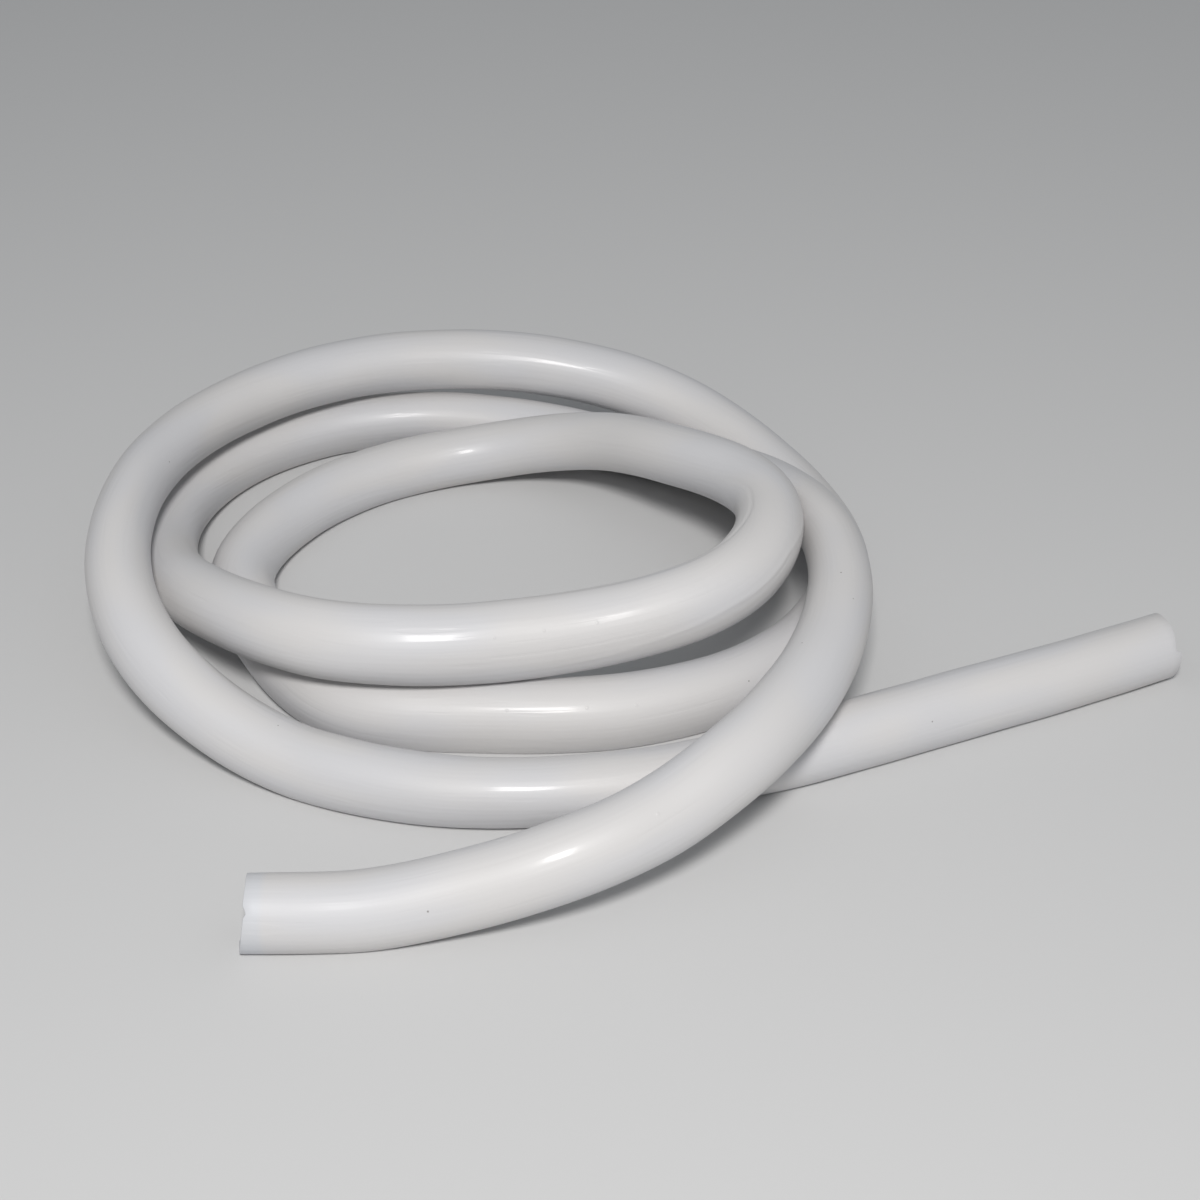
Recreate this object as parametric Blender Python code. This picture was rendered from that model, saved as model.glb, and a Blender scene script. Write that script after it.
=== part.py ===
"""Vacuum hose: one smooth, plain vinyl tube, lying in three loose turns, both ends cut bare.

Metres, +Z up. The origin is on the floor, in the middle of the hose's footprint. Seen from above,
+X is to the right and +Y to the back. The hose runs counter-clockwise, from its front end inwards.
"""
import math

import bmesh
import bpy
import numpy as np

# ---------------------------------------------------------------- sizes, in metres
hose_diameter = 0.0286        # 1 1/8 inch outside
bore_diameter = 0.0190        # 3/4 inch inside
floor_flat = hose_diameter / 10   # depth of the flat that the soft wall settles into on the floor
layer_gap = 0.0006            # clearance between a strand and the one it lies on
cut_gap = 0.0003              # clearance between the faces of two lengths of the one hose
bore_overrun = 0.0040         # how far the bore's cutter runs out past each end

hose_sides = 12               # flats round the outside
bore_sides = 8                # flats round the bore
points_per_turn = 24          # rings of the coil in one turn
free_end_spacing = 2.0        # ring spacing along a free end, in hose diameters
straight_start = 1.0          # how far each length runs straight from its cut, in hose diameters
first_bend = 1.5              # where its first ring on the bend may lie, in hose diameters
direction_step = 0.0001       # the piece of the line that gives its direction at a cut
weld_distance = 0.00001       # points closer than this are one point
smooth_angle = 40.0           # degrees; flats that meet more sharply show an edge
same_stretch = 3.0            # hose closer along itself than this isn't another turn, in diameters
spots_per_step = 8            # points measured between two rings for the least gap

# ---------------------------------------------------------------- how the hose lies
# The coil is laid out like a clock face that the hose goes round three times. Each hour has a reach,
# from the middle of the coil to the middle of the hose in millimetres, and a height in layers: 0 is
# a strand on the floor, and 1 is a strand that lies on one of those.
hours_per_turn = 12
first_hour = -60.0            # degrees from +X, where the coil starts and, three turns on, ends
millimetre = 0.001

outer_turn = ((200, 0.95), (172, 1.10), (150, 0.95), (132, 0.45), (126, 0.00), (132, 0.00),
              (147, 0.00), (151, 0.00), (137, 0.25), (119, 0.80), (107, 1.05), (95, 1.05))
inner_turn = ((100, 1.10), (127, 1.40), (124, 1.40), (99, 1.10), (98, 0.60), (99, 0.10),
              (97, 0.00), (99, 0.00), (104, 0.00), (100, 0.00), (106, 0.00), (102, 0.00))
last_turn = ((116, 0.00), (142, 0.00), (161, 0.00), (161, 0.05), (157, 0.50), (147, 0.90),
             (147, 1.05), (150, 1.10), (151, 1.20), (156, 0.80), (148, 0.05), (151, 0.00))
coil_end = ((164, 0.00),)

# Points along the two free ends: x and y from the middle of the coil in millimetres, and layers.
front_run = ((-76, -220, 0.00), (-36, -219, 0.00), (5, -214, 0.20), (45, -207, 0.55),
             (78, -190, 0.75))
right_run = ((128, -127, 0.00), (193, -99, 0.00), (246, -76, 0.00), (293, -54, 0.00))


# ---------------------------------------------------------------- the line that the hose follows
lowest_middle = hose_diameter / 2 - floor_flat   # the middle line's height where the hose lies flat


def route_point(x, y, layers):
    """One point of the hose's middle line from a plan position and a height in layers."""
    height = lowest_middle + layers * (hose_diameter + layer_gap)
    return (x * millimetre, y * millimetre, height)


def route_points():
    """The chosen points of the whole hose, and where in that list the coil starts and ends."""
    points = [route_point(*chosen) for chosen in front_run]
    coil_start = len(points)
    for hour, (reach, layers) in enumerate(outer_turn + inner_turn + last_turn + coil_end):
        angle = math.radians(first_hour + 360.0 * hour / hours_per_turn)
        points.append(route_point(reach * math.cos(angle), reach * math.sin(angle), layers))
    coil_stop = len(points) - 1
    points += [route_point(*chosen) for chosen in right_run]
    return np.array(points), coil_start, coil_stop


def smooth_curve(points):
    """A natural cubic spline through the points, measured along the chords between them.

    Where it would swing below the floor, the hose lies on the floor.
    """
    chords = np.linalg.norm(np.diff(points, axis=0), axis=1)
    along = np.concatenate(([0.0], np.cumsum(chords)))
    count = len(points)
    system = np.eye(count)
    slopes = np.zeros_like(points)
    for i in range(1, count - 1):
        system[i, i - 1:i + 2] = (chords[i - 1], 2 * (chords[i - 1] + chords[i]), chords[i])
        slopes[i] = 6 * ((points[i + 1] - points[i]) / chords[i]
                         - (points[i] - points[i - 1]) / chords[i - 1])
    bends = np.linalg.solve(system, slopes)

    def at(distance):
        i = int(np.clip(np.searchsorted(along, distance) - 1, 0, count - 2))
        span = chords[i]
        before = (along[i + 1] - distance) / span
        after = (distance - along[i]) / span
        point = (before * points[i] + after * points[i + 1]
                 + ((before ** 3 - before) * bends[i] + (after ** 3 - after) * bends[i + 1])
                 * span ** 2 / 6)
        point[2] = max(point[2], lowest_middle)
        return point

    return at, along


def run_with_straight_ends(at, start, stop, steps):
    """Points from one cut to the next. The first and last diameter of hose run straight."""
    first = at(start)
    last = at(stop)
    setting_off = at(start + direction_step) - first
    arriving = last - at(stop - direction_step)
    setting_off = setting_off / np.linalg.norm(setting_off)
    arriving = arriving / np.linalg.norm(arriving)
    straight = straight_start * hose_diameter
    clear = first_bend * hose_diameter
    between = [at(s) for s in np.linspace(start, stop, steps + 1)
               if start + clear < s < stop - clear]
    return [first, first + setting_off * straight] + between + [last - arriving * straight, last]


def least_gap(lines):
    """The least space between the hose's own turns, wall to wall, on points along its line."""
    spots = []
    travel = []
    run = 0.0
    for line in lines:
        for a, b in zip(line[:-1], line[1:]):
            for share in np.arange(spots_per_step) / spots_per_step:
                spots.append(a + (b - a) * share)
                travel.append(run + share * np.linalg.norm(b - a))
            run += np.linalg.norm(b - a)
    spots = np.array(spots)
    travel = np.array(travel)
    apart = np.linalg.norm(spots[:, None] - spots[None], axis=2)
    other_turn = np.abs(travel[:, None] - travel[None]) > same_stretch * hose_diameter
    return float(apart[other_turn].min()) - hose_diameter


# ---------------------------------------------------------------- solids
def vinyl():
    """Glossy, pale grey soft vinyl."""
    material = bpy.data.materials.new("vinyl")
    material.use_nodes = True
    shader = material.node_tree.nodes["Principled BSDF"]
    shader.inputs["Base Color"].default_value = (0.56, 0.57, 0.58, 1.0)
    shader.inputs["Roughness"].default_value = 0.28
    shader.inputs["Metallic"].default_value = 0.0
    return material


def tube(name, line, diameter, sides):
    """A closed round tube along a line of points, as a mesh object."""
    curve = bpy.data.curves.new(name + "_line", "CURVE")
    curve.dimensions = "3D"
    curve.twist_mode = "Z_UP"
    curve.bevel_depth = diameter / 2
    curve.bevel_resolution = (sides - 4) // 2
    curve.use_fill_caps = True
    curve.resolution_u = 1
    curve.render_resolution_u = 1
    spline = curve.splines.new("POLY")
    spline.points.add(len(line) - 1)
    for point, position in zip(spline.points, line):
        point.co = (*position, 1.0)
    guide = bpy.data.objects.new(name + "_guide", curve)
    bpy.context.scene.collection.objects.link(guide)
    bpy.context.view_layer.update()
    evaluated = guide.evaluated_get(bpy.context.evaluated_depsgraph_get())
    mesh = bpy.data.meshes.new_from_object(evaluated)
    bpy.data.objects.remove(guide)
    mesh.name = name
    shape = bmesh.new()
    shape.from_mesh(mesh)
    bmesh.ops.remove_doubles(shape, verts=shape.verts, dist=weld_distance)
    bmesh.ops.recalc_face_normals(shape, faces=shape.faces)
    shape.to_mesh(mesh)
    shape.free()
    piece = bpy.data.objects.new(name, mesh)
    bpy.context.scene.collection.objects.link(piece)
    return piece


def floor_block(size):
    """The floor as a cutter: everything of the hose below it is flattened away."""
    mesh = bpy.data.meshes.new("floor_cutter")
    shape = bmesh.new()
    bmesh.ops.create_cube(shape, size=1.0)
    bmesh.ops.scale(shape, vec=(size, size, hose_diameter), verts=shape.verts)
    bmesh.ops.translate(shape, vec=(0, 0, -hose_diameter / 2), verts=shape.verts)
    shape.to_mesh(mesh)
    shape.free()
    block = bpy.data.objects.new("floor_cutter", mesh)
    bpy.context.scene.collection.objects.link(block)
    as_cutter(block)
    return block


def as_cutter(piece):
    piece.hide_render = True
    piece.display_type = "WIRE"


def cut(piece, cutter, name):
    boolean = piece.modifiers.new(name, "BOOLEAN")
    boolean.operation = "DIFFERENCE"
    boolean.solver = "EXACT"
    boolean.object = cutter


def hose_length(name, line, floor, material):
    """One length of the hose: round outside, its bore cut through, flat where it meets the floor."""
    piece = tube(name, line, hose_diameter, hose_sides)
    first_step = (line[0] - line[1]) / np.linalg.norm(line[0] - line[1])
    last_step = (line[-1] - line[-2]) / np.linalg.norm(line[-1] - line[-2])
    bore_line = ([line[0] + first_step * bore_overrun] + list(line[1:-1])
                 + [line[-1] + last_step * bore_overrun])
    bore = tube(name + "_bore_cutter", bore_line, bore_diameter, bore_sides)
    as_cutter(bore)
    cut(piece, bore, "bore")
    cut(piece, floor, "floor flat")
    piece.data.materials.clear()
    piece.data.materials.append(material)
    piece.data.shade_smooth()
    piece.data.set_sharp_from_angle(angle=math.radians(smooth_angle))
    return piece


# ---------------------------------------------------------------- the part
for leftover in list(bpy.data.objects):
    bpy.data.objects.remove(leftover)

chosen_points, coil_start, coil_stop = route_points()
middle_line, along = smooth_curve(chosen_points)
coil_from = along[coil_start]
coil_to = along[coil_stop]
turns = (coil_stop - coil_start) / hours_per_turn

coil_line = run_with_straight_ends(middle_line, coil_from, coil_to, round(turns * points_per_turn))
front_steps = round((coil_from - along[0]) / (free_end_spacing * hose_diameter))
front_line = run_with_straight_ends(middle_line, along[0], coil_from - cut_gap, front_steps)
right_steps = round((along[-1] - coil_to) / (free_end_spacing * hose_diameter))
right_line = run_with_straight_ends(middle_line, coil_to + cut_gap, along[-1], right_steps)

# The origin goes to the middle of the footprint.
outline = [tube("outline", line, hose_diameter, hose_sides)
           for line in (front_line, coil_line, right_line)]
corners = np.array([vertex.co for piece in outline for vertex in piece.data.vertices])
for piece in outline:
    bpy.data.objects.remove(piece)
to_middle = -(corners.min(axis=0) + corners.max(axis=0)) / 2
to_middle[2] = 0.0
coil_line = [point + to_middle for point in coil_line]
front_line = [point + to_middle for point in front_line]
right_line = [point + to_middle for point in right_line]

hose = bpy.data.objects.new("hose", None)
bpy.context.scene.collection.objects.link(hose)
widest = float((corners.max(axis=0) - corners.min(axis=0)).max())
floor = floor_block(2 * widest)
for name, line in (("front_free_end", front_line), ("hose_coil", coil_line),
                   ("right_free_end", right_line)):
    length = hose_length(name, line, floor, vinyl())
    length.data.materials[0].name = name + "_vinyl"
    length.parent = hose

total = sum(float(np.linalg.norm(b - a)) for line in (front_line, coil_line, right_line)
            for a, b in zip(line[:-1], line[1:]))
print("shift to the middle of the footprint, mm:", np.round(to_middle * 1000, 2))
print("hose length, mm:", round(total * 1000, 1))
print("least gap of the coil to itself, mm:", round(least_gap([coil_line]) * 1000, 2))
print("least gap of the whole hose to itself, mm:",
      round(least_gap([front_line, coil_line, right_line]) * 1000, 2))
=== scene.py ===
import math

import bmesh
import bpy
import numpy as np
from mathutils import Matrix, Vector


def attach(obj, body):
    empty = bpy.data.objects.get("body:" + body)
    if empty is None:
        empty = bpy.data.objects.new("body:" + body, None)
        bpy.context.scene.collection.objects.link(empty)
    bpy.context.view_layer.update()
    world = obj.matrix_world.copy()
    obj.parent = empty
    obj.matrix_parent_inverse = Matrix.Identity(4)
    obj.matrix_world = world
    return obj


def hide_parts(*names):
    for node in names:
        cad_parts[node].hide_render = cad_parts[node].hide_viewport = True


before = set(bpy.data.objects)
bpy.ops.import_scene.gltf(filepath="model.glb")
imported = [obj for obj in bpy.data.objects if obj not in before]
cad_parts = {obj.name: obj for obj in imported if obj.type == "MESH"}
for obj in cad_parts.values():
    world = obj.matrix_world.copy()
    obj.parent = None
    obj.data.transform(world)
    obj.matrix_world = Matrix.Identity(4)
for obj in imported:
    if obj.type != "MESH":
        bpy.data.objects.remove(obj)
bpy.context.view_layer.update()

# ---------------------------------------------------------------- Camera
# The photographer stands at the front and looks down at the hose. The aim is the floor point at the
# middle of the picture, and the lens takes in about half a metre of floor at that distance.
camera_aim = Vector((-0.0125, 0.0366, -0.0029))
camera_distance = 1.025
camera_pitch = math.radians(34.98)
camera_lens = 68.75           # millimetres, on a 36 mm sensor

camera_data = bpy.data.cameras.new("camera")
camera_data.sensor_width = 36
camera_data.lens = camera_lens
camera_data.clip_start = 0.01
camera = bpy.data.objects.new("camera", camera_data)
bpy.context.scene.collection.objects.link(camera)
camera_back = Vector((0, -math.cos(camera_pitch), math.sin(camera_pitch)))
camera.location = camera_aim + camera_distance * camera_back
camera.rotation_euler = (-camera_back).to_track_quat("-Z", "Y").to_euler()
bpy.context.scene.camera = camera

# ---------------------------------------------------------------- The line that the hose follows
# A limp vinyl hose lies where it was dropped: along the floor, up over the strands that are there
# already, and down again. It goes round three times and both of its ends run free.
hose_diameter = 0.0286
floor_flat = hose_diameter / 10      # how deep the wall has settled into its flat on the floor
layer_rise = hose_diameter + 0.0006  # from a strand on the floor to one that lies across it
lowest_middle = hose_diameter / 2 - floor_flat
coil_middle = (-0.06682, 0.03656)    # plan position of the middle of the coil
first_hour = -60.0                   # degrees from +X; the coil goes round like a clock backwards
hours_per_turn = 12
ring_spacing = 0.0048                # between the rings of the finished tube

# For each hour of each turn: the reach from the middle of the coil, and the height in layers.
outer_turn = ((0.200, 0.95), (0.172, 1.10), (0.150, 0.95), (0.132, 0.45), (0.126, 0.00), (0.132, 0.00),
              (0.147, 0.00), (0.151, 0.00), (0.137, 0.25), (0.119, 0.80), (0.107, 1.05), (0.095, 1.05))
inner_turn = ((0.100, 1.10), (0.127, 1.40), (0.124, 1.40), (0.099, 1.10), (0.098, 0.60), (0.099, 0.10),
              (0.097, 0.00), (0.099, 0.00), (0.104, 0.00), (0.100, 0.00), (0.106, 0.00), (0.102, 0.00))
last_turn = ((0.116, 0.00), (0.142, 0.00), (0.161, 0.00), (0.161, 0.05), (0.157, 0.50), (0.147, 0.90),
             (0.147, 1.05), (0.150, 1.10), (0.151, 1.20), (0.156, 0.80), (0.148, 0.05), (0.151, 0.00))
coil_end = ((0.164, 0.00),)
# For the two free ends: x and y from the middle of the coil, and the height in layers.
front_run = ((-0.076, -0.220, 0.00), (-0.036, -0.219, 0.00), (0.005, -0.214, 0.20), (0.045, -0.207, 0.55),
             (0.078, -0.190, 0.75))
right_run = ((0.128, -0.127, 0.00), (0.193, -0.099, 0.00), (0.246, -0.076, 0.00), (0.293, -0.054, 0.00))


def route_point(x, y, layers):
    return (coil_middle[0] + x, coil_middle[1] + y, lowest_middle + layers * layer_rise)


chosen_points = [route_point(*chosen) for chosen in front_run]
first_coil_point = len(chosen_points)
for hour, (reach, layers) in enumerate(outer_turn + inner_turn + last_turn + coil_end):
    angle = math.radians(first_hour + 360.0 * hour / hours_per_turn)
    chosen_points.append(route_point(reach * math.cos(angle), reach * math.sin(angle), layers))
chosen_points += [route_point(*chosen) for chosen in right_run]
chosen_points = np.array(chosen_points)


def smooth_curve(points):
    """A natural cubic spline through the points, and how far along it each of them is."""
    chords = np.linalg.norm(np.diff(points, axis=0), axis=1)
    along = np.concatenate(([0.0], np.cumsum(chords)))
    count = len(points)
    system = np.eye(count)
    slopes = np.zeros_like(points)
    for i in range(1, count - 1):
        system[i, i - 1:i + 2] = (chords[i - 1], 2 * (chords[i - 1] + chords[i]), chords[i])
        slopes[i] = 6 * ((points[i + 1] - points[i]) / chords[i]
                         - (points[i] - points[i - 1]) / chords[i - 1])
    bends = np.linalg.solve(system, slopes)

    def at(distances):
        i = np.clip(np.searchsorted(along, distances) - 1, 0, count - 2)
        span = chords[i][:, None]
        before = (along[i + 1] - distances)[:, None] / span
        after = (distances - along[i])[:, None] / span
        return (before * points[i] + after * points[i + 1]
                + ((before ** 3 - before) * bends[i] + (after ** 3 - after) * bends[i + 1]) * span ** 2 / 6)

    return at, along


middle_line, chosen_along = smooth_curve(chosen_points)
ring_count = round(chosen_along[-1] / ring_spacing) + 1
ring_along = np.linspace(0.0, chosen_along[-1], ring_count)
ring_middles = middle_line(ring_along)
ring_middles[:, 2] = np.maximum(ring_middles[:, 2], lowest_middle)
ring_hours = np.interp(ring_along, chosen_along, np.arange(len(chosen_along)) - first_coil_point)
ring_steps = np.linalg.norm(np.diff(ring_middles, axis=0), axis=1)
ring_travel = np.concatenate(([0.0], np.cumsum(ring_steps)))
hose_length = float(ring_travel[-1])

# ---------------------------------------------------------------- The hose
# One extruded length of soft vinyl, cut by hand with a knife at both ends. It is made straight, wall
# and bore, as it leaves the extruder, and is then laid along its line and left to settle.
bore_diameter = 0.0190
section_sides = 64
rim_rounding = 0.0004
rim_angle = math.radians(60)             # edges that turn more than this are the rims of the cuts
sharp_angle = math.radians(25)           # and on the laid hose, these show as an edge
skin_radius = 0.45 * hose_diameter       # points farther out than this are on the outer skin

straight_hose = bmesh.new()
wall_corners = [straight_hose.verts.new((radius, 0.0, 0.0))
                for radius in (bore_diameter / 2, hose_diameter / 2)]
wall_edge = straight_hose.edges.new(wall_corners)
bmesh.ops.spin(straight_hose, geom=wall_corners + [wall_edge], cent=(0, 0, 0), axis=(0, 0, 1),
               angle=2 * math.pi, steps=section_sides, use_merge=True)
drawn_out = bmesh.ops.extrude_face_region(straight_hose, geom=straight_hose.faces[:], use_keep_orig=True)
far_corners = [part for part in drawn_out["geom"] if isinstance(part, bmesh.types.BMVert)]
bmesh.ops.translate(straight_hose, verts=far_corners, vec=(0.0, 0.0, hose_length))
bmesh.ops.recalc_face_normals(straight_hose, faces=straight_hose.faces)
rims = [edge for edge in straight_hose.edges if edge.calc_face_angle(0.0) > rim_angle]
bmesh.ops.bevel(straight_hose, geom=rims, offset=rim_rounding, offset_type="OFFSET", affect="EDGES",
                segments=2, profile=0.5, material=-1)
lengthwise = [edge for edge in straight_hose.edges if edge.calc_length() > hose_length / 2]
bmesh.ops.subdivide_edges(straight_hose, edges=lengthwise, cuts=ring_count - 2, use_grid_fill=False)

# The skin is finer where the tightest turn has begun to buckle. Where the finer faces meet the others,
# some faces have corners along a side, and those are split into even triangles.
buckle_start = 1.03           # metres along the hose
buckle_stop = 1.215
buckle_side = -0.001          # the half of the wall that buckles lies above this Y on the straight hose
in_buckle = {vertex for vertex in straight_hose.verts
             if buckle_start < vertex.co.z < buckle_stop and vertex.co.y > buckle_side
             and vertex.co.xy.length > skin_radius}
buckle_edges = [edge for edge in straight_hose.edges if in_buckle.issuperset(edge.verts)]
finer = bmesh.ops.subdivide_edges(straight_hose, edges=buckle_edges, cuts=2, use_grid_fill=True)
for vertex in {part for part in finer["geom"] if isinstance(part, bmesh.types.BMVert)}:
    vertex.co.xy *= hose_diameter / 2 / vertex.co.xy.length
many_sided = [face for face in straight_hose.faces if len(face.verts) > 4]
bmesh.ops.triangulate(straight_hose, faces=many_sided, ngon_method="BEAUTY")
for face in straight_hose.faces:
    face.smooth = True
hose_mesh = bpy.data.meshes.new("vacuum_hose")
straight_hose.to_mesh(hose_mesh)
straight_hose.free()
hose = bpy.data.objects.new("vacuum_hose", hose_mesh)
bpy.context.scene.collection.objects.link(hose)

# Each point keeps its place on the straight hose, for the marks that run along the hose.
points = np.zeros(len(hose_mesh.vertices) * 3)
hose_mesh.vertices.foreach_get("co", points)
straight_points = points.reshape(-1, 3)
straight_place = hose_mesh.attributes.new("straight_place", "FLOAT_VECTOR", "POINT")
straight_place.data.foreach_set("vector", straight_points.ravel())

# The knife didn't go straight through: how far each cut falls short of square, in millimetres, by
# degrees round the wall. The front end has a nick, and a nib was torn out at the right end.
front_cut = ((0, 1.4), (41, 2.1), (69, 1.8), (76, 1.9), (80, 2.9), (85, 2.9), (89, 2.0), (98, 1.8),
             (126, 0.8), (160, -0.6), (180, -1.3), (270, 0.2), (360, 1.4))
right_cut = ((0, -1.0), (34, 0.9), (53, 1.0), (74, 2.1), (90, 2.9), (96, 3.4), (101, 3.3), (106, 0.7),
             (112, 1.0), (133, 1.3), (149, 2.0), (180, 1.0), (270, -0.5), (360, -1.0))
cut_reach = 0.006             # points farther than this from an end stay put
cut_fade = 0.005              # and over this length the shift grows to its full amount
point_degrees = np.degrees(np.arctan2(straight_points[:, 1], straight_points[:, 0])) % 360
point_along = straight_points[:, 2].copy()
for cut, end_along, inward in ((front_cut, 0.0, 1), (right_cut, hose_length, -1)):
    degrees, short = np.array(cut).T
    near_end = np.clip((cut_reach - np.abs(straight_points[:, 2] - end_along)) / cut_fade, 0.0, 1.0)
    point_along += inward * near_end * np.interp(point_degrees, degrees, short) / 1000

# Round the buckled turn a fold runs along the inner edge and a ridge along the outer one. For some hours
# of the line: degrees round the wall, and how strong it is.
inner_fold = ((11.6, 12, 0.0), (12, 10, 0.35), (12.9, 12, 0.8), (13.3, 30, 1.0), (13.5, 42, 1.0),
              (13.8, 58, 0.8), (14.2, 66, 0.0))
outer_ridge = ((11.6, 142, 0.0), (12, 138, 0.35), (12.8, 121, 0.8), (13.3, 127, 1.0), (13.6, 155, 0.8),
               (14.0, 170, 0.0))
# The whole skin has slow, shallow waves. Each turns so many radians per metre, and so often round the wall.
slow_waves = ((167, 2), (111, -1), (73, 3), (41, 1))
wave_height = 0.00004
point_hours = np.interp(straight_points[:, 2], ring_travel, ring_hours)
point_angles = np.radians(point_degrees)
skin_height = sum(wave_height * np.sin(straight_points[:, 2] * per_metre + round_the_wall * point_angles)
                  for per_metre, round_the_wall in slow_waves)
for mark, width, height in ((inner_fold, 0.0017, -0.00028), (outer_ridge, 0.0018, 0.00022)):
    hours, degrees, strengths = np.array(mark).T
    degrees_away = np.abs(point_degrees - np.interp(point_hours, hours, degrees))
    away = np.clip(hose_diameter / 2 * np.radians(degrees_away) / width, 0, 1)
    skin_height += height * np.interp(point_hours, hours, strengths) * (1 + np.cos(math.pi * away)) / 2
skin_height *= np.linalg.norm(straight_points[:, :2], axis=1) > skin_radius
swollen = 1 + skin_height[:, None] / (hose_diameter / 2)

# A soft hose lies a little oval. Its flatter side mostly faces up and forward, and how broad it is
# was judged at some hours along the line: 1 is round.
flatter_side = (0.0, -0.819, 0.574)
breadth_by_hour = ((-5, 1.03), (-3.5, 1.06), (-2, 1.07), (-0.7, 1.09), (0.5, 1.08), (1.8, 0.86), (3, 0.85),
                   (4.5, 0.90), (6, 0.93), (7.3, 0.92), (8.5, 1.01), (10, 1.13), (11.5, 1.16), (13, 1.10),
                   (14, 0.97), (15.5, 0.95), (17, 0.94), (18.5, 0.97), (20, 0.99), (21.5, 1.05), (23, 1.10),
                   (24.3, 1.08), (25.5, 0.92), (26.5, 0.87), (27.8, 1.03), (29, 1.02), (30.5, 0.97),
                   (32, 0.89), (33.2, 1.05), (34.5, 1.02), (36, 0.91), (37.3, 1.02), (38.5, 1.02), (40, 0.98))
blurred_rings = 15
hours, breadths = np.array(breadth_by_hour).T
blur = np.hanning(blurred_rings) / np.hanning(blurred_rings).sum()
ring_breadth = np.pad(np.interp(ring_hours, hours, breadths), blurred_rings // 2, mode="edge")
ring_breadth = np.convolve(ring_breadth, blur, mode="valid")
onward = np.gradient(ring_middles, ring_travel, axis=0)
onward /= np.linalg.norm(onward, axis=1, keepdims=True)
broad_way = np.cross(flatter_side, onward)
broad_way /= np.linalg.norm(broad_way, axis=1, keepdims=True)
narrow_way = np.cross(onward, broad_way)


def at_points(ring_values):
    """A value that is known at each ring, at each point's own place along the hose."""
    return np.stack([np.interp(point_along, ring_travel, column) for column in ring_values.T], axis=1)


point_breadth = at_points(ring_breadth[:, None])
past_the_end = (point_along - np.clip(point_along, 0.0, hose_length))[:, None]
laid_points = (at_points(ring_middles) + past_the_end * at_points(onward)
               + at_points(broad_way) * straight_points[:, :1] * swollen * point_breadth
               + at_points(narrow_way) * straight_points[:, 1:2] * swollen * (2 - point_breadth))

# Where two strands press on each other, both walls give way to the plane half way between them.
skin_clearance = 0.0001
strand_reach = 1.2 * hose_diameter       # strands whose middles are closer than this may touch
same_stretch = 3 * hose_diameter         # hose closer along itself than this isn't another strand
point_ring = np.clip(np.rint(np.interp(point_along, ring_travel, np.arange(ring_count))), 0, ring_count - 1)
apart = np.linalg.norm(ring_middles[:, None] - ring_middles[None], axis=2)
apart[np.abs(ring_travel[:, None] - ring_travel[None]) < same_stretch] = np.inf
for ring in np.flatnonzero(apart.min(axis=1) < strand_reach):
    members = np.flatnonzero(point_ring == ring)
    for neighbour in np.flatnonzero(apart[ring] < strand_reach):
        distance = apart[ring, neighbour]
        towards = (ring_middles[neighbour] - ring_middles[ring]) / distance
        past = (laid_points[members] - ring_middles[ring]) @ towards - distance / 2 + skin_clearance
        laid_points[members] -= np.maximum(past, 0.0)[:, None] * towards
laid_points[:, 2] = np.maximum(laid_points[:, 2], 0.0)
hose_mesh.vertices.foreach_set("co", laid_points.ravel())
hose_mesh.update()
hose_mesh.set_sharp_from_angle(angle=sharp_angle)

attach(hose, "root")
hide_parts("front_free_end", "hose_coil", "right_free_end")

# The vinyl is coloured right through: pale grey, with a soft gloss from the die. It has fine lines
# along it, mottling, a few specks of dirt and pimples, a bluer front end and duller cut faces.
warm_grey = (0.622, 0.610, 0.605, 1)
cool_grey = (0.602, 0.600, 0.614, 1)
end_grey = (0.560, 0.590, 0.640, 1)
dirt_brown = (0.090, 0.070, 0.055, 1)

vinyl = bpy.data.materials.new("pale_grey_vinyl")
vinyl.use_nodes = True
vinyl_tree = vinyl.node_tree
vinyl_shader = vinyl_tree.nodes["Principled BSDF"]


def vinyl_node(kind, settings=(), **inputs):
    """A node of the vinyl: its settings, and for each input a value or the output it is fed from."""
    node = vinyl_tree.nodes.new(kind)
    for name, value in dict(settings).items():
        setattr(node, name, value)
    for name, value in inputs.items():
        socket = node.inputs[int(name[2:]) if name.startswith("in") else name]
        if isinstance(value, bpy.types.NodeSocket):
            vinyl_tree.links.new(value, socket)
        else:
            socket.default_value = value
    return node


def worked_out(operation, *values):
    """The output of one Math node of the vinyl."""
    return vinyl_node("ShaderNodeMath", {"operation": operation},
                      **{f"in{i}": value for i, value in enumerate(values)}).outputs[0]


def eased(value, start, stop, first, last):
    """From first to last, smoothly, as the value goes from start to stop."""
    return vinyl_node("ShaderNodeMapRange", {"interpolation_type": "SMOOTHSTEP"}, in0=value, in1=start,
                      in2=stop, in3=first, in4=last).outputs[0]


def blend(share, first, last):
    return vinyl_node("ShaderNodeMix", {"data_type": "RGBA"}, in0=share, in6=first, in7=last).outputs[2]


place = vinyl_node("ShaderNodeAttribute", {"attribute_name": "straight_place"}).outputs["Vector"]
place_parts = vinyl_node("ShaderNodeSeparateXYZ", in0=place)
place_x, place_y, place_along = place_parts.outputs


def noise(per_metre, detail):
    """Noise with so many marks in a metre across, up and along the straight hose."""
    scaled = vinyl_node("ShaderNodeVectorMath", {"operation": "MULTIPLY"}, in0=place, in1=per_metre)
    return vinyl_node("ShaderNodeTexNoise", in0=scaled.outputs[0], Scale=1.0, Detail=detail).outputs["Fac"]


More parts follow.
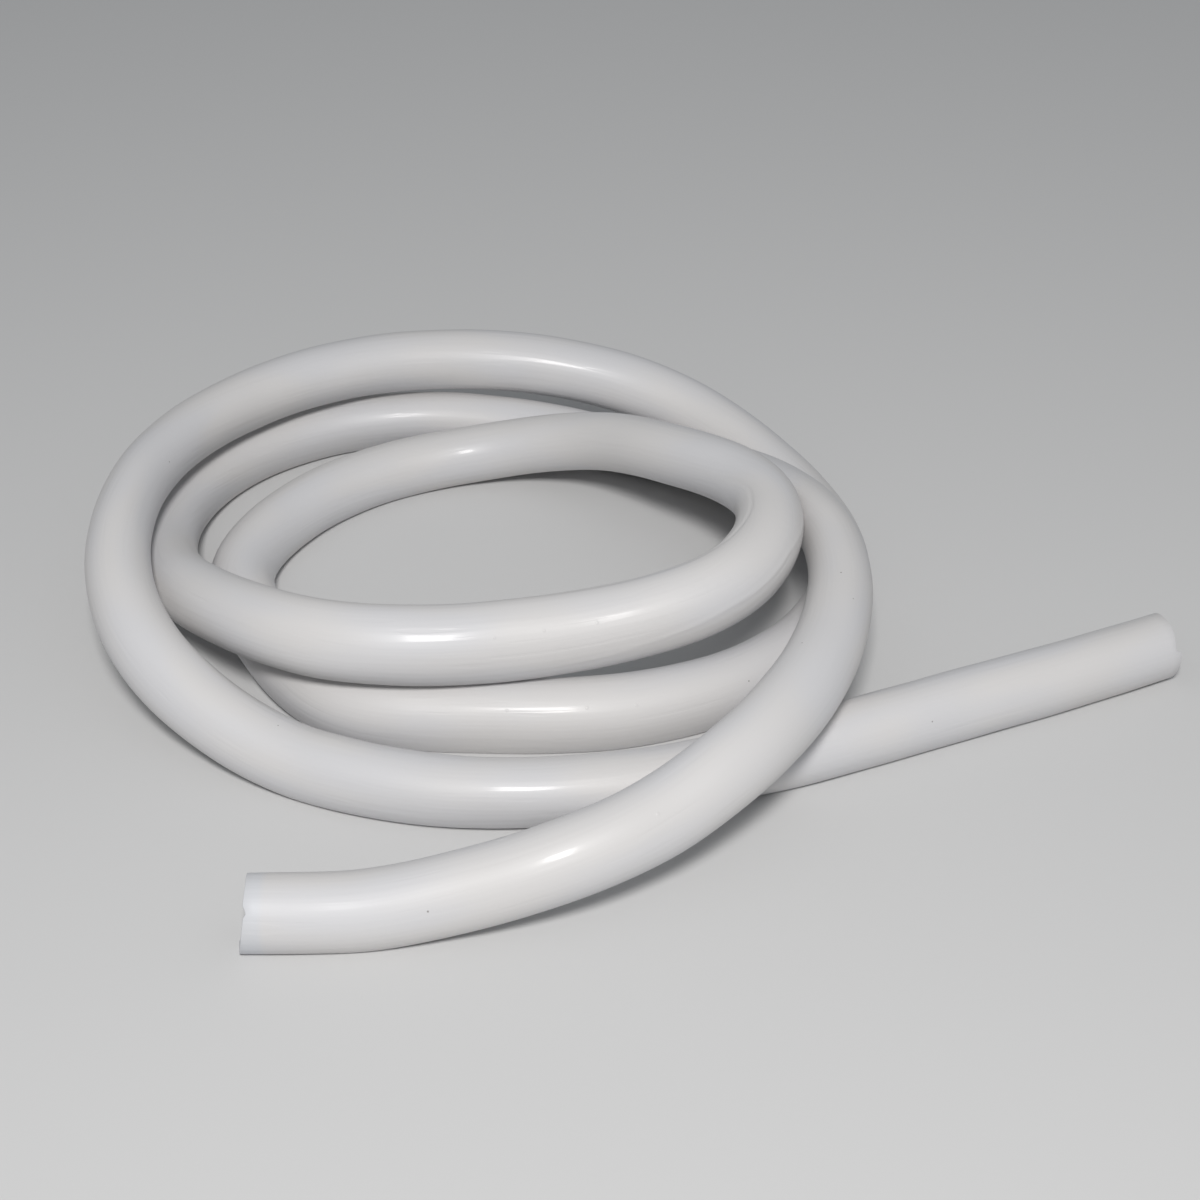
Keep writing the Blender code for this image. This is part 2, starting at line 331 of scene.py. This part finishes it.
def spots(table):
    """One in each spot and 0 elsewhere, for rows of metres along, degrees round and radius in millimetres."""
    everywhere = 0.0
    for along, degrees, radius in table:
        angle = math.radians(degrees)
        middle = (hose_diameter / 2 * math.cos(angle), hose_diameter / 2 * math.sin(angle), along)
        away = vinyl_node("ShaderNodeVectorMath", {"operation": "DISTANCE"}, in0=place, in1=middle)
        spot = eased(away.outputs["Value"], radius / 2000, radius / 1000, 1.0, 0.0)
        everywhere = worked_out("MAXIMUM", spot, everywhere)
    return everywhere


# Colour: mottled warm and cool, bluer for the last centimetre of the front end, and the specks of dirt.
mottling = noise((45, 45, 14), 1.0)
colour = blend(eased(mottling, 0.35, 0.65, 0.0, 1.0), warm_grey, cool_grey)
from_front = worked_out("ABSOLUTE", place_along)
from_right = worked_out("ABSOLUTE", worked_out("SUBTRACT", place_along, hose_length))
from_end = worked_out("MINIMUM", from_front, from_right)
colour = blend(eased(from_front, 0.006, 0.010, 0.45, 0.0), colour, end_grey)
dirt = spots(((2.352, 44, 0.45), (0.310, 76, 0.45), (0.295, 99, 0.35), (0.258, 41, 0.35), (1.796, 92, 0.4),
              (2.544, 42, 0.35), (0.068, 101, 0.5), (2.813, 99, 0.4)))
colour = blend(worked_out("MULTIPLY", dirt, 0.65), colour, dirt_brown)
vinyl_tree.links.new(colour, vinyl_shader.inputs["Base Color"])

# Gloss: a dull skin and a thin bright one over it. The cut faces are as dull as the knife left them.
dullness = eased(noise((110, 110, 20), 2.0), 0.3, 0.7, 0.45, 0.54)
cut_face = eased(from_end, 0.0001, 0.0005, 1.0, 0.0)
dullness = worked_out("MAXIMUM", dullness, worked_out("MULTIPLY", cut_face, 0.6))
vinyl_tree.links.new(dullness, vinyl_shader.inputs["Roughness"])
thin_gloss = eased(place_along, 0.07, 0.13, 0.03, 0.14)     # the front end is dulled by handling
vinyl_tree.links.new(thin_gloss, vinyl_shader.inputs["Coat Weight"])
vinyl_shader.inputs["Coat Roughness"].default_value = 0.15

# Relief: how high each small mark stands, in millimetres.
scuffed = worked_out("MULTIPLY", noise((1500, 1500, 1100), 2.0), spots(((0.100, 8, 2.6), (0.291, 165, 4.0))))
scratches = eased(noise((480, 480, 30), 0.0), 0.66, 0.74, 0.0, 1.0)
pimples = spots(((1.062, 83, 0.8), (1.731, 78, 0.8), (1.750, 82, 0.8), (0.155, 81, 0.8), (1.040, 82, 0.7),
                 (1.020, 84, 0.7), (1.700, 80, 0.7)))
surface = None
for height, millimetres in ((pimples, 0.07), (scuffed, 0.40), (scratches, -0.03),
                            (noise((560, 560, 16), 2.0), 0.09)):
    bump = vinyl_node("ShaderNodeBump", Height=height, Distance=millimetres / 1000)
    if surface:
        vinyl_tree.links.new(surface, bump.inputs["Normal"])
    surface = bump.outputs["Normal"]
vinyl_tree.links.new(surface, vinyl_shader.inputs["Normal"])
vinyl_tree.links.new(surface, vinyl_shader.inputs["Coat Normal"])
hose_mesh.materials.append(vinyl)

# ---------------------------------------------------------------- Floor
# A plain pale studio floor, wide enough to fill the picture.
floor_size = 8.0
floor_mesh = bpy.data.meshes.new("studio_floor")
floor_sheet = bmesh.new()
bmesh.ops.create_grid(floor_sheet, x_segments=1, y_segments=1, size=floor_size / 2)
floor_sheet.to_mesh(floor_mesh)
floor_sheet.free()
floor = bpy.data.objects.new("studio_floor", floor_mesh)
bpy.context.scene.collection.objects.link(floor)
floor_paint = bpy.data.materials.new("floor_paint")
floor_paint.use_nodes = True
floor_paint.node_tree.nodes["Principled BSDF"].inputs["Base Color"].default_value = (0.60, 0.60, 0.60, 1)
floor_paint.node_tree.nodes["Principled BSDF"].inputs["Roughness"].default_value = 0.8
floor_mesh.materials.append(floor_paint)

# ---------------------------------------------------------------- Light
# A small soft box stands over the front of the hose, and the pale room fills the rest.
hose_centre = Vector((0.0, 0.0, 0.03))
softbox_height = math.radians(49)
softbox_turn = math.radians(-1)
softbox_direction = Vector((math.sin(softbox_turn) * math.cos(softbox_height),
                            -math.cos(softbox_turn) * math.cos(softbox_height), math.sin(softbox_height)))
softbox_distance = 1.7
softbox_data = bpy.data.lights.new("softbox", "AREA")
softbox_data.shape = "SQUARE"
softbox_data.size = 0.30
softbox_data.energy = 21.5
softbox_data.color = (1.0, 0.985, 0.97)
softbox = bpy.data.objects.new("softbox", softbox_data)
softbox.location = hose_centre + softbox_distance * softbox_direction
softbox.rotation_euler = (-softbox_direction).to_track_quat("-Z", "Y").to_euler()
bpy.context.scene.collection.objects.link(softbox)

room = bpy.data.worlds.new("room")
bpy.context.scene.world = room
room.use_nodes = True
room.node_tree.nodes["Background"].inputs["Color"].default_value = (0.93, 0.965, 1.0, 1)
room.node_tree.nodes["Background"].inputs["Strength"].default_value = 0.32
bpy.context.scene.view_settings.view_transform = "Standard"
